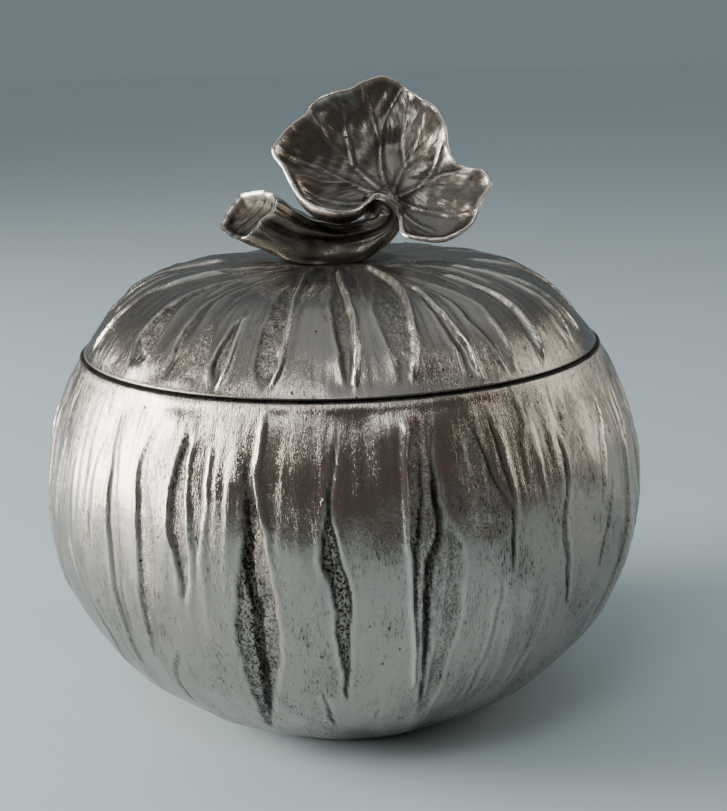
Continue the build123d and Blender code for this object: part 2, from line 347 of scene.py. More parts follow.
globe = Skin(bowl_rings[:, 1], bowl_rings[:, 0], BOWL_AROUND)
BOWL_GOUGES = [
    # big almond left of the middle: punched ground, a crease in it, and a bright lip above
    dict(line=[(8, -22, -20.5), (18, -19.6, -16), (28, -19.2, -12.4), (36, -19, -11.4), (44, -18.2, -12),
               (51, -17.2, -13), (57, -16.8, -14), (62, -17.4, -15), (66, -17.4, -15.6)],
         soft=(0.4, 0.5), lip=(0.05, 0.2), stipple=1.0, ground=0.1, seed=1),
    dict(line=[(12, -19, -17.4), (23, -17.2, -15.2), (39, -16.2, -14.2), (50, -17.2, -15.2),
               (61, -17.2, -16.2)],
         depth=0.6, soft=(0.35, 0.35), lip=(0, 0), stipple=0.6, dark=0.7, ground=0.85, seed=2),
    dict(line=[(53, -15.4, -13.2), (57, -17.0, -14.2), (62, -18.4, -15.2), (67, -18.0, -15.0),
               (73.4, -15.6, -14.6)],
         soft=(2.6, 0.35), lip=(0, 0.75), dark=0.15, ground=0, wander=0.4, seed=3),
    # long gouge down the middle
    dict(line=[(20, -1.2, -0.6), (26, -1.2, -0.2), (33, -2, 0.2), (39, -2.2, 0.6), (45, -3, 0.4),
               (50, -4.2, -0.8), (56, -3.8, -2.2), (64, -2.4, -1.6), (72.5, -1.4, -0.9)],
         depth=0.8, soft=(0.35, 0.35), lip=(0.15, 0.12), stipple=1.0, dark=0.9, ground=0.3, seed=4),
    # right of the middle: a bright thin edge, broken ground and two dark creases
    dict(line=[(22, 12, 13), (34, 11, 14.5), (43, 10.4, 15.5), (53.7, 10.2, 16), (62.8, 10.4, 15.4),
               (71.5, 11.6, 14)],
         depth=0.45, soft=(0.3, 1.0), lip=(0.45, 0.1), stipple=0.7, dark=0.3, ground=0.08, wander=0.5,
         seed=5),
    dict(line=[(17, 13.6, 14.4), (25, 12.8, 13.8), (33, 12.4, 13.7), (43, 12.3, 13.8),
               (48.6, 12.9, 14.6), (53, 14.6, 16.2), (59.4, 14.5, 15.8), (64.7, 14.6, 15.6),
               (69.5, 14.9, 15.4)], depth=0.8, stipple=0.5, dark=1.0, ground=0.7, wander=0.6, seed=6),
    dict(line=[(30, 11.2, 12), (42, 10.4, 11.4), (49, 10.7, 11.7), (53.5, 11.5, 12.4), (60, 12.2, 13),
               (66.8, 13.2, 13.8)], depth=0.4, lip=(0, 0.1), ground=0.4, seed=7),
    dict(line=[(50.2, 13.2, 13.8), (53, 12.6, 14.6), (56.8, 13.4, 14)],
         depth=-0.35, lip=(0, 0), dark=0, ground=0, seed=8),
    dict(line=[(14, 14, 16.5), (19, 14, 17), (27, 13.8, 17.4), (35.5, 13.8, 18.8), (42, 14, 19.2),
               (49.4, 14.8, 19.2), (56, 15.8, 17.4)],
         depth=0.35, soft=(0.8, 0.6), lip=(0, 0.12), stipple=0.6, dark=0.3, ground=0.08, seed=9),
    # two slanting lines that meet, with broken ground to their left
    dict(line=[(43, 27.9, 28.5), (54.2, 28.4, 29.2), (58, 28.5, 29.4), (63.7, 27.7, 28.7),
               (71.7, 26.8, 27.4)],
         depth=0.16, lip=(0, 0.12), dark=0.7, ground=0.05, wander=0.6, seed=10),
    dict(line=[(54.2, 28.2, 28.9), (56.2, 27.5, 28.4), (60.3, 25.8, 26.7), (66, 24.1, 25),
               (70, 23, 23.6)], depth=0.14, lip=(0, 0.08), dark=0.7, ground=0.05, wander=0.6, seed=32),
    dict(line=[(50, 21, 27), (54.4, 20, 27.6), (62.6, 19.6, 26), (71.4, 20.2, 25.6)],
         depth=0.2, soft=(1.5, 1.5), lip=(0, 0), stipple=0.9, dark=0.2, ground=0, seed=33),
    # hollows under the rim
    dict(line=[(58, 31.8, 33), (66, 29.5, 33.6), (69.6, 28.5, 34.6), (72.4, 28.4, 34.2),
               (73.6, 29.6, 32)],
         depth=0.2, soft=(1.2, 0.35), lip=(0, 0.1), stipple=0.2, dark=0.5, ground=0.1, seed=11),
    dict(line=[(54, 35.6, 36.2), (59.3, 35.4, 36.3), (64.3, 35.5, 36.5), (69.3, 35.5, 36.5),
               (72, 36.4, 37.4)], depth=0.15, lip=(0, 0.12), dark=0.6, ground=0.05, seed=12),
    dict(line=[(60, 36.8, 39), (68, 36.2, 41.5), (71.5, 36.4, 42.2), (73, 38, 40.6)],
         depth=0.2, soft=(0.35, 1.5), lip=(0.1, 0), stipple=0.2, dark=0.45, ground=0.1, seed=13),
    dict(line=[(33, 41.6, 42.3), (41, 40.6, 41.8), (48.6, 39.5, 41), (54, 40.8, 41.8),
               (59.3, 41.7, 42.6), (66, 42.3, 42.9)],
         depth=0.3, soft=(0.3, 0.4), lip=(0.05, 0.12), stipple=0.6, dark=0.75, ground=0.2, seed=14),
    dict(line=[(56, 41.8, 43.4), (62, 42.6, 45.6), (68.6, 44.6, 49.6), (72.5, 46.5, 49.5)],
         depth=-0.35, soft=(1.0, 0.6), lip=(0, 0), stipple=0.4, dark=0.4, ground=0, seed=34),
    # right side
    dict(line=[(38, 49.6, 50.4), (45, 51.6, 52.8), (50, 54.4, 55.8), (55, 57, 58.2)],
         depth=0.4, dark=0.7, seed=15),
    dict(line=[(50, 50.6, 51.4), (57, 52.8, 54.4), (64, 55.4, 57.4), (70, 57.6, 58.6)],
         depth=0.55, soft=(0.4, 1.4), lip=(0.1, 0.3), stipple=0.5, dark=0.7, seed=16),
    dict(line=[(24, 57, 58), (36, 60, 62.6), (48, 62, 65), (60, 64, 66)],
         depth=0.5, soft=(1.6, 0.4), lip=(0, 0.3), stipple=0.5, dark=0.6, seed=17),
    dict(line=[(56, 66.8, 67.8), (62, 67.4, 69), (70, 68.2, 69)], depth=0.45, lip=(0.2, 0.1), seed=18),
    dict(line=[(14, 24, 25), (24, 24.4, 25.6), (34, 25.4, 26.4), (44, 26, 26.8)],
         depth=0.2, soft=(0.5, 1.2), dark=0.3, ground=0.05, seed=19),
    dict(line=[(16, 33, 34), (30, 34.4, 36.2), (40, 35.6, 36.6)],
         depth=0.25, soft=(1.2, 0.5), dark=0.3, ground=0.05, seed=20),
    # left side: folds that are sharp on one edge and fade out on the other
    dict(line=[(21, -46.4, -45.6), (31, -45.2, -43.2), (40, -44.9, -42.2), (49.7, -45.4, -42.2),
               (59.6, -46.2, -43.6), (71.5, -47.6, -46.4)],
         depth=0.75, soft=(0.3, 2.4), lip=(0.1, 0), stipple=0.1, ground=0.05, wander=0.6, seed=21),
    dict(line=[(25, -39.6, -38.8), (30.6, -38.6, -36.2), (40.2, -37.7, -33.6), (48, -37.4, -33),
               (55.9, -38.2, -34.4), (62.2, -38.9, -36.4), (69.8, -37, -36)],
         depth=0.75, soft=(0.3, 2.0), lip=(0.1, 0), stipple=0.7, ground=0.05, wander=0.6, seed=22),
    dict(line=[(40, -28.4, -27.4), (48, -29.2, -26.6), (56, -31, -27.4), (62, -30.6, -27.8),
               (69, -28.6, -27.6)], depth=0.65, soft=(0.35, 0.4), lip=(0.1, 0.4), stipple=0.8, seed=23),
    dict(line=[(44, -26, -25.2), (56, -24.8, -24), (68, -24.6, -24)],
         depth=0.15, lip=(0, 0.2), dark=0.4, seed=24),
    dict(line=[(44.7, -51.1, -50.3), (51.7, -51.5, -50.5), (58.6, -51.5, -50.5), (66.9, -49.2, -48.6)],
         depth=0.25, soft=(0.3, 0.8), dark=0.7, wander=0.6, seed=25),
    dict(line=[(17, -54, -53.2), (28, -52.4, -51), (37.5, -57.4, -55.4), (46, -60, -58.2)],
         depth=0.45, soft=(0.4, 1.4), stipple=0.4, dark=0.7, seed=26),
    dict(line=[(13, -38, -37.2), (21, -36.8, -35.6), (30, -31.6, -30.6)],
         depth=0.3, dark=0.5, ground=0.05, seed=28),
    dict(line=[(10, -4.4, -3.6), (17, -5, -4), (24, -5.6, -5)],
         depth=0.2, dark=0.45, ground=0.05, seed=29),
    dict(line=[(13, 4.4, 5), (18, 5.6, 6.4)], depth=0.2, dark=0.4, ground=0.05, seed=30),
    dict(line=[(36, -69, -68), (50, -68, -65), (64, -65.6, -64)],
         depth=0.45, soft=(0.4, 1.6), dark=0.6, seed=31),
]
for cut in BOWL_GOUGES:
    globe.gouge(**cut)
globe.furrows([75, 82, 90, 97, 105, 113, 120, 128, 135, 143, 152, 160, 167, 175, 184, 191, 200, 207, 215,
               224, 231, 240, 247, 254, 262, 269, 277, 284], 10, 72, seed=200)

rubbed_band = step_between(RIM_Z - bowl_rings[:, 1:], 0.6, 4.0) * step_between(bowl_rings[:, 1:], 0.5, 6)
globe.work_over((1.06, 0.44), rubbed_band, (
    (0.20, (70, 13), 11), (0.09, (9, 6), 12), (0.05, (16, 1.2), 13), (0.13, (1.1, 0.9), 14)
))
for mark in (globe.patina, globe.stipple):
    mark *= rubbed_band ** 0.5
# dirt stays in the corner under the lid, and the foot is darkened towards the table as painted shade
globe.patina += step_between(bowl_rings[:, 1:], RIM_Z - 0.42, RIM_Z - 0.2)
globe.patina += 0.5 * (1 - step_between(bowl_rings[:, 1:], 0.2, 4)) * (bowl_rings[:, :1] > FOOT - 1)

# the colour of rubbed metal, also used to paint highlights on lips, ridges, rims and leaf edges
WORN_EDGE_AND_HIGHLIGHT = "#DDD7CD"
TOOTH = 0.24  # mm from the bottom of the casting's texture to its top
PLUS, TIMES, TIMES_PLUS = ({"operation": name} for name in ("ADD", "MULTIPLY", "MULTIPLY_ADD"))


def antiqued_pewter(name, burnished, patina, gloss, dirt, tooth):
    """Tin alloy cast in a textured mould, blackened all over and rubbed back by hand. Burnished metal
    stands out warm grey, gouges and pits keep a brown-black patina, and raised lips are rubbed bright.
    It reads four marks that the modelling leaves on each piece: patina, worn, stipple, and grain, which
    runs along the piece. dirt is how much patina the open metal keeps, and tooth how rough it is cast."""
    made = bpy.data.materials.new(name)
    made.use_nodes = True
    tree = made.node_tree
    metal = tree.nodes["Principled BSDF"]
    metal.inputs["Metallic"].default_value = 1
    # the patina mark also holds painted shade in the leaf's cup, under its lobes and round the bowl's
    # foot, and the worn mark also holds a painted highlight on lips, the stalk's ribs, the cut's rim and
    # the leaf's edges and veins
    dark, worn, stippled = (
        node(tree, "Attribute", attribute_name=mark, output="Fac")
        for mark in ("patina", "worn", "stipple")
    )
    grain = node(tree, "Attribute", attribute_name="grain", output="Vector")

    def pattern(kind, wide, long, output, **settings):
        """A pattern whose marks are this wide and this long, in mm, along the grain."""
        scale = (1 / (wide * MM), 1 / (wide * MM), 1 / (long * MM))
        at = node(tree, "VectorMath", grain, scale, **TIMES)
        return node(tree, kind, Vector=at, Scale=1.0, output=output, **settings)

    # the rubbing strokes and scratches are finer on the real metal, and are drawn coarse enough to show
    strokes = pattern("TexNoise", 0.75, 5.0, "Fac", Detail=4.0, Roughness=0.65)
    scratches = pattern("TexNoise", 0.27, 1.3, "Fac", Detail=3.0, Roughness=0.7)
    punch = pattern("TexVoronoi", 0.46, 0.55, "Distance")
    grit = pattern("TexNoise", 0.42, 0.60, "Fac", Detail=3.0, Roughness=0.8)
    mottle = pattern("TexNoise", 7.0, 13.0, "Fac", Detail=5.0, Roughness=0.6)
    pinhole = pattern("TexVoronoi", 4.2, 5.5, "Distance")

    # soot is all the patina: in the grooves and the punched ground, in streaks, dashes and clouds on the
    # open metal, and in pinholes, with the painted shade that the patina mark holds, and worn places are
    # rubbed clean of it
    coarse = node(tree, "MapRange", mottle, 0.40, 0.62, **SMOOTH)
    deep = node(tree, "Math", punch, 0.35, node(tree, "Math", grit, 0.9, **TIMES), **TIMES_PLUS)
    ground = node(tree, "Math", stippled, node(tree, "MapRange", deep, 0.66, 0.52, **SMOOTH), **TIMES)
    dashes = node(tree, "Math", node(tree, "MapRange", scratches, 0.52, 0.68, **SMOOTH),
                  node(tree, "Math", coarse, 0.65, 0.20, **TIMES_PLUS), **TIMES)
    streaks = node(tree, "MapRange", strokes, 0.56, 0.78, 0.0, 0.34, **SMOOTH)
    clouds = node(tree, "MapRange", mottle, 0.46, 0.8, 0.0, 0.34, **SMOOTH)
    pits = node(tree, "MapRange", pinhole, 0.075, 0.04, **SMOOTH)
    soot = node(tree, "Math", dark, node(tree, "MapRange", grit, 0.2, 0.7, 1.1, 0.75, **SMOOTH),
                node(tree, "Math", ground, 0.62, **TIMES), **TIMES_PLUS)
    open_metal = node(tree, "Math", node(tree, "Math", streaks, dashes, **PLUS), clouds, **PLUS)
    soot = node(tree, "Math", open_metal, dirt, soot, **TIMES_PLUS)
    soot = node(tree, "Math", pits, 0.7, soot, use_clamp=True, **TIMES_PLUS)
    bare = node(tree, "Math", worn, -0.85, 1.0, **TIMES_PLUS)
    soot = node(tree, "Math", soot, bare, use_clamp=True, **TIMES)

    rubbed = node(tree, "Mix", soot, **COLOURS, _6=linear(burnished), _7=linear(patina))
    edges = node(tree, "Math", worn, 0.8, **TIMES)
    edges = node(tree, "Mix", edges, **COLOURS, _6=rubbed, _7=linear(WORN_EDGE_AND_HIGHLIGHT))
    tree.links.new(edges, metal.inputs["Base Color"])
    rough = node(tree, "MapRange", soot, 0.0, 1.0, gloss - 0.10, gloss + 0.25, **SMOOTH)
    rough = node(tree, "Math", scratches, 0.20, rough, **TIMES_PLUS)
    tree.links.new(rough, metal.inputs["Roughness"])

    # on the bowl this cuts strokes and punch marks about 0.06 mm deep, and pinholes 0.09 mm
    cut = node(tree, "Math", scratches, node(tree, "Math", coarse, 0.50, 0.40, **TIMES_PLUS), **TIMES)
    for marks, depth in ((strokes, 0.38), (ground, -0.45), (pits, -0.6)):
        cut = node(tree, "Math", marks, depth, cut, **TIMES_PLUS)
    bump = node(tree, "Bump", Strength=1.0, Distance=TOOTH * tooth * MM, Height=cut)
    tree.links.new(bump, metal.inputs["Normal"])
    return made


def cast_shell(name, rings, skin, free, sunk, grain_out, finish):
    """The carved outside of a shell. free is how far each ring's skin may leave its place, sunk how deep
    the open skin lies, and grain_out the radius that the grain is taken at."""
    shell, ring, column = ring_tube(name, skin.shape[1], len(rings))
    slope = np.gradient(rings, axis=0)
    facing = np.stack([slope[:, 1], -slope[:, 0]], 1) / np.hypot(*slope.T)[:, None]
    shift = (skin.relief - sunk) * free[:, None]
    reach = np.minimum(rings[:, :1] + shift * facing[:, :1], BELLY - 0.01)
    place_vertices(shell, round_places(reach, rings[:, 1:] + shift * facing[:, 1:], ring, column))
    turn = 2 * pi * column / skin.shape[1]
    grain = np.stack([grain_out * np.sin(turn), -grain_out * np.cos(turn), travel_along(rings)[ring]], 1)
    leave_marks(shell, grain, patina=skin.patina[ring, column], worn=skin.worn[ring, column],
                stipple=skin.stipple[ring, column])
    shell.data.materials.append(finish)
    return shell


CLOUD = 8  # mm across


def turned(name, tone, tarnish, roughness, line):
    """Metal cut on the lathe and left satin, with fine tool lines round the axis. line is their spacing
    in mm, drawn coarse enough to show, and tarnish dulls it in clouds."""
    made = bpy.data.materials.new(name)
    made.use_nodes = True
    tree = made.node_tree
    metal = tree.nodes["Principled BSDF"]
    metal.inputs["Metallic"].default_value = 1
    place = node(tree, "TexCoord", output="Object")
    x, y, z = node(tree, "SeparateXYZ", place).node.outputs
    out = node(tree, "VectorMath", node(tree, "CombineXYZ", x, y), operation="LENGTH", output="Value")
    along = node(tree, "Math", out, z, **PLUS)
    lines = node(tree, "TexNoise", noise_dimensions="1D", W=along, Scale=1 / (line * MM), Detail=3.0,
                 Roughness=0.6, output="Fac")
    clouds = node(tree, "TexNoise", Vector=place, Scale=1 / (CLOUD * MM), Detail=5.0, Roughness=0.65,
                  output="Fac")
    dull = node(tree, "MapRange", clouds, 0.42, 0.72, 0.0, 0.8, **SMOOTH)
    mix = node(tree, "Mix", dull, **COLOURS, _6=linear(tone), _7=linear(tarnish))
    tree.links.new(mix, metal.inputs["Base Color"])
    spread = node(tree, "MapRange", lines, 0.3, 0.7, roughness - 0.07, roughness + 0.10)
    tree.links.new(node(tree, "Math", dull, 0.15, spread, **TIMES_PLUS), metal.inputs["Roughness"])
    bump = node(tree, "Bump", Strength=0.5, Distance=0.03 * MM, Height=lines)
    tree.links.new(bump, metal.inputs["Normal"])
    return made


satin_pewter = turned("turned_pewter", "#A39E96", "#6E675F", 0.36, 0.5)


def close_with_lining(piece, rings, around):
    """Adds the inside, turned smooth, and joins it to the outside at both open edges."""
    inner, ring, column = ring_tube(piece.name + "_lining", around, len(rings))
    flat = np.ones((len(rings), around))
    place_vertices(inner, round_places(rings[:, :1] * flat, rings[:, 1:] * flat, ring, column))
    inner.data.materials.append(satin_pewter)
    bpy.ops.object.mode_set(mode="EDIT")
    bpy.ops.mesh.select_all(action="SELECT")
    bpy.ops.mesh.flip_normals()
    bpy.ops.object.mode_set(mode="OBJECT")
    piece.select_set(True)
    bpy.context.view_layer.objects.active = piece
    bpy.ops.object.join()
    middle = float(rings[0, 1] + rings[-1, 1]) / 2 * MM
    for upper in (False, True):
        bpy.ops.object.mode_set(mode="EDIT")
        bpy.ops.mesh.select_all(action="DESELECT")
        bpy.ops.mesh.select_mode(type="EDGE")
        bpy.ops.mesh.select_non_manifold()
        bpy.ops.object.mode_set(mode="OBJECT")
        for edge in piece.data.edges:
            if edge.select:
                edge.select = (piece.data.vertices[edge.vertices[0]].co.z > middle) == upper
        bpy.ops.object.mode_set(mode="EDIT")
        bpy.ops.mesh.bridge_edge_loops()
        bpy.ops.object.mode_set(mode="OBJECT")
    bpy.ops.object.shade_smooth()


free = step_between(RIM_Z - bowl_rings[:, 1], 0.2, 1.2) * step_between(bowl_rings[:, 1], 0.1, 2.0)
free *= bowl_rings[:, 0] > FOOT - 0.3
bowl_pewter = antiqued_pewter("antiqued_cast_pewter", "#A8A198", "#1F1B18", 0.21, 1.0, 0.62)
bowl = cast_shell("bowl_shell", bowl_rings, globe, free, SKIN_DEPTH, BELLY, bowl_pewter)
close_with_lining(bowl, lining_rings, BOWL_AROUND)
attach(bowl, "bowl")
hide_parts("bowl_shell")

# --- Lid ---
# A low dome cast like the bowl and a little darker. Its gouges run up into folds that gather under the
# finial. It rests on the rim, and its edge is rubbed, with dirt in the joint.
LID_RIM, CROWN_Z, SEAT, SEAT_Z = 50.9, 90.8, 10.5, 90.2
LID_WALL, BORE, RING_TOP = 2.0, 47.65, 76.4
BOSS, BOSS_Z, SCREW_HOLE = 7.0, 87.6, 2.3
RIM_SLOPE = radians(55.6)
FLAT_CROWN, RISE, INNER_RISE = 36.0, 18.0, 13.4  # how far the curve keeps the crown's and the rim's slope
LID_GRAIN = 44  # the grain's middle radius
LID_AROUND = 840


def dome(crown, rise, rim):
    """Points along the dome's outline, from its rim to its crown."""
    t = np.linspace(1, 0, 400)[:, None]
    shoulder = (rim[0] - rise * cos(RIM_SLOPE), rim[1] + rise * sin(RIM_SLOPE))
    points = [(0, crown), (FLAT_CROWN, crown), shoulder, rim]
    weights = [(1 - t) ** 3, 3 * (1 - t) ** 2 * t, 3 * (1 - t) * t * t, t ** 3]
    return sum(w * np.array(p) for w, p in zip(weights, points))


dome_line = dome(CROWN_Z, RISE, (LID_RIM, RIM_Z))
dome_line = dome_line[(dome_line[:, 0] > SEAT + 1.0) & (dome_line[:, 1] > RIM_Z + 0.5)]
dome_rings = even_spacing(dome_line, 72)
lid_rings = np.concatenate([
    [(BORE, RIM_Z + 0.1), (BORE + 0.15, RIM_Z), (LID_RIM - 0.9, RIM_Z), (LID_RIM - 0.42, RIM_Z + 0.11),
     (LID_RIM - 0.10, RIM_Z + 0.22)],
    dome_rings,
    [(SEAT + 0.4, CROWN_Z - 0.12), (SEAT - 0.2, CROWN_Z - 0.4), (SEAT - 1.0, SEAT_Z), (5, SEAT_Z),
     (SCREW_HOLE + 0.1, SEAT_Z), (SCREW_HOLE, SEAT_Z - 0.1)],
])
inner_dome = dome(CROWN_Z - LID_WALL, INNER_RISE, (BORE - 0.55, RING_TOP))
lid_lining = np.concatenate([
    [(BORE, RIM_Z + 0.2), (BORE, RING_TOP - 0.05), (BORE - 0.1, RING_TOP)],
    even_spacing(inner_dome[inner_dome[:, 0] > BOSS + 0.2], 22),
    [(BOSS + 0.05, CROWN_Z - LID_WALL), (BOSS, CROWN_Z - LID_WALL - 0.1), (BOSS, BOSS_Z + 0.15),
     (BOSS - 0.15, BOSS_Z), (SCREW_HOLE + 0.1, BOSS_Z), (SCREW_HOLE, BOSS_Z + 0.1)],
])

dome_skin = Skin(lid_rings[:, 0], lid_rings[:, 0], LID_AROUND)
LID_GOUGES = [
    dict(line=[(24, -62, -61), (36, -69, -66), (43, -72, -69.6), (48, -75, -72), (50.2, -74, -73)],
         depth=0.4, soft=(1.6, 0.4), lip=(0, 0.45), dark=0.4),
    dict(line=[(13, -38, -36), (22, -42, -40), (30, -48, -44), (36, -52, -46.5), (40, -53, -46.4),
               (46, -53, -46), (49.4, -50.4, -46.8)],
         depth=0.65, soft=(0.3, 0.7), stipple=1.0, dark=0.6),
    dict(line=[(15, -31, -30), (26, -36, -35), (34, -38.8, -37.6), (40, -40, -37), (45, -40, -36.6),
               (50, -38.6, -37.6)], depth=0.6, soft=(0.3, 1.2), stipple=0.4, dark=0.85),
    dict(line=[(40, -34.6, -31), (45, -35.4, -29.6), (50, -35, -30)],
         depth=0.2, soft=(1, 1), lip=(0, 0), stipple=0.7, dark=0.25),
    dict(line=[(38, -25.4, -25), (43, -26.8, -24.6), (47, -28, -24.6), (50.4, -26.4, -25.6)],
         depth=0.8, soft=(0.3, 0.4), lip=(0.1, 0.52), stipple=0.3, dark=0.95),
    dict(line=[(14, -25, -23), (28, -24, -21), (40, -22.8, -19), (49, -20, -18)],
         depth=0.35, soft=(2.5, 0.8), lip=(0, 0), dark=0.3),
    dict(line=[(13, -21.6, -20.6), (19, -20.6, -18.6), (24, -20, -16.6), (30, -19.6, -14.6),
               (40, -19, -13.2), (44, -18.6, -12.8), (47, -18, -12.8), (50.2, -16.6, -15)],
         depth=0.65, soft=(0.5, 0.35), lip=(0.05, 0.6), stipple=1.0, dark=0.35),
    dict(line=[(18, -1.6, -0.9), (27, -2.2, 0.2), (36, -2.4, 2.4), (41, -1.8, 3.1), (44, -1, 2.9),
               (48, 0.4, 2.5), (50.3, 1, 1.8)],
         depth=0.9, soft=(0.6, 0.35), lip=(0.1, 0.75), stipple=0.4, dark=0.75, wander=0.6),
    dict(line=[(14, 16.6, 19), (22, 14.5, 20.6), (30, 11.5, 20.2), (40, 9, 17.4), (46, 10.6, 15.4),
               (49.4, 12, 13.4)], soft=(1.6, 0.35), lip=(0.1, 0.68), stipple=0.7, dark=0.5, wander=0.6),
    dict(line=[(27, 22.6, 23.6), (38, 24.4, 26), (43, 25, 27.4), (46, 25.2, 28), (50.3, 25, 28.6)],
         soft=(0.8, 0.35), lip=(0.1, 0.45), dark=0.75),
    dict(line=[(18, 27, 28.4), (28, 29.5, 32.4), (34, 31.6, 35.6), (42, 33, 38.8), (46, 34.6, 39),
               (50.3, 36, 37.4)], depth=0.8, soft=(0.6, 1.3), dark=0.85),
    dict(line=[(26, 42.6, 43.8), (38, 46, 47.8), (45, 46.4, 48.8), (50.3, 45.4, 46.6)],
         depth=0.6, soft=(0.4, 1.0), lip=(0.05, 0.45)),
    dict(line=[(24, 55, 56.4), (38, 59, 61.6), (45, 59.6, 62), (49.6, 59.6, 60.6)],
         depth=0.55, soft=(0.4, 1.2), lip=(0.1, 0.38), dark=0.7),
    dict(line=[(26, 62, 63.6), (43, 67, 69.6), (49.4, 70, 71)],
         depth=0.5, soft=(0.5, 1.0), lip=(0.1, 0.38), dark=0.6),
]
for seed, cut in enumerate(LID_GOUGES, 51):
    dome_skin.gouge(**cut, ground=0.04, seed=seed)
dome_skin.furrows([80, 90, 100, 110, 119, 129, 138, 148, 157, 167, 176, 186, 195, 205, 214, 224, 233, 243,
                   252, 262, 272, 281], 18, 50.2, seed=300)
# soft folds between the gouges, gathered under the finial
for seed, turn in enumerate((-80, -66, -57, -44, -33, -12, -6, 6, 24, 40, 52, 64, 76), 400):
    fold = [(12, turn * 0.9 - 1.5, turn * 0.9 + 1.5), (24, turn - 1.3, turn + 1.3),
            (36, turn - 0.5, turn + 0.5)]
    dome_skin.gouge(fold, depth=0.35, soft=(1.2, 0.5), lip=(0, 0.12), dark=0.35, seed=seed)

rubbed_band = step_between(lid_rings[:, 1:], RIM_Z + 0.4, RIM_Z + 3.0)
rubbed_band = rubbed_band * step_between(lid_rings[:, :1], SEAT + 0.5, SEAT + 6)
dome_skin.work_over((0.78, 0.38), rubbed_band, (
    (0.22, (70, 12), 21), (0.07, (8, 6), 22), (0.04, (16, 1.2), 23), (0.12, (1.0, 0.9), 24)
))
dome_skin.patina += 1 - step_between(lid_rings[:, 1:], RIM_Z + 0.18, RIM_Z + 0.42)
dome_skin.patina += 0.7 * (1 - step_between(lid_rings[:, :1], SEAT - 0.5, SEAT + 4))

free = step_between(lid_rings[:, 1], RIM_Z + 0.2, RIM_Z + 1.4)
free *= step_between(lid_rings[:, 0], SEAT, SEAT + 3)
lid_pewter = antiqued_pewter("antiqued_lid_pewter", "#969088", "#1B1815", 0.23, 0.60, 0.50)
lid = cast_shell("lid_shell", lid_rings, dome_skin, free, 0, LID_GRAIN, lid_pewter)
close_with_lining(lid, lid_lining, LID_AROUND)
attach(lid, "lid")
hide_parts("lid_shell")

# --- Finial stem ---
# The stalk of the pumpkin, cast in pewter. It lies on the lid with one end cut on the slant and dished,
# and its thin end curls up into the leaf. Its foot is let into the lid and screwed from below.
STEM_LINE = [(-22, -1, 12.6, 5.8), (-14.8, -1, 8.5, 5.3), (-8, -1, 5.1, 4.5), (-0.5, -0.6, 3.9, 3.8),
             (5.4, -1, 4.8, 3.2), (9.8, -1.8, 7.0, 2.7), (11, -2.2, 9.5, 2.2), (9.6, -2.1, 11.3, 1.8),
             (7.5, -1.4, 11.9, 1.5), (6.0, 0.2, 11.3, 1.2)]  # x, y, height above the seat, radius
CUT_PLACE, CUT_FACING = (-17.6, -1.0, SEAT_Z + 9.8), (-0.55, -0.50, 0.67)
# ribs, as shares of the stalk's radius: the fine ones' height, count and turn, and the big ones' and the
# hollow's height, place and width, in radians
FINE_RIBS = ((0.030, 5, 0.6), (0.026, 9, 2.4), (0.016, 15, 0.8))
BIG_RIBS = ((0.15, -0.50, 0.34), (-0.27, -1.42, 0.30), (0.07, -2.2, 0.35), (0.08, 1.1, 0.4))
CUT_ACROSS, CUT_ALONG = (0.35, -0.86, -0.35), (0.76, 0, 0.62)  # two directions in the cut's face
GRAIN_OUT = 4
STEM_AROUND, CUT_RINGS, STALK_RINGS = 240, 24, 211

line = np.array(STEM_LINE) + (0, 0, SEAT_Z, 0)
travel = travel_along(line[:, :3])
fine = np.linspace(0, travel[-1], 500)
line = np.stack([smooth_line(fine, travel, values) for values in line.T], 1)
ahead = np.gradient(line[:, :3], axis=0)
ahead /= np.linalg.norm(ahead, axis=1)[:, None]
over = np.cross(ahead, (0, 1, 0))
over /= np.linalg.norm(over, axis=1)[:, None]
beside = np.cross(over, ahead)


def stalk_at(along, turn):
    """A place on the stalk, with its rib there: turn 0 is its upper side and a quarter turn its back."""
    middle, up, side = (
        np.stack([np.interp(along, fine, values) for values in rows.T], -1)
        for rows in (line, over, beside)
    )
    thick = middle[..., 3]
    twist = turn + 0.012 * along
    ribs = sum(high * np.sin(count * twist + shift) for high, count, shift in FINE_RIBS)
    apart = (turn + pi) % (2 * pi) - pi
    ribs = ribs + sum(high * np.exp(-((apart - at) / wide) ** 2) for high, at, wide in BIG_RIBS)
    out = np.cos(turn)[..., None] * up + np.sin(turn)[..., None] * side
    return middle[..., :3] + out * (thick * (1 + ribs))[..., None], ribs


turns = 2 * pi * np.arange(STEM_AROUND) / STEM_AROUND
start, _ = stalk_at(*np.meshgrid(fine[:200], turns, indexing="ij"))
beyond = (start - CUT_PLACE) @ np.array(CUT_FACING)
first = np.array([np.interp(0, -beyond[:, c], fine[:200]) for c in range(STEM_AROUND)])
share = np.linspace(0, 1, STALK_RINGS)[:, None]
along = first + 0.12 + share * (travel[-1] - first - 0.12)
stalk, ribs = stalk_at(along, np.broadcast_to(turns, along.shape))
stem_step = (0.22, 0.12)
rough = worked(along.shape, stem_step, (9, 0.9), 31)
dents = worked(along.shape, stem_step, (4, 2.5), 32)
out = stalk - np.stack([np.interp(along, fine, line[:, k]) for k in range(3)], -1)
out /= np.linalg.norm(out, axis=-1)[..., None]
stalk += out * (step_between(along - first, 0, 1.5) * (0.07 * rough + 0.09 * dents))[..., None]
# the foot spreads out on the lid
under = step_between(-out[..., 2], 0.05, 0.75) * np.exp(-((stalk[..., 0] + 1.5) / 8.5) ** 4)
stalk[..., 2] -= (stalk[..., 2] - SEAT_Z) * under
stalk[..., 1] += (stalk[..., 1] + 1) * 0.38 * under
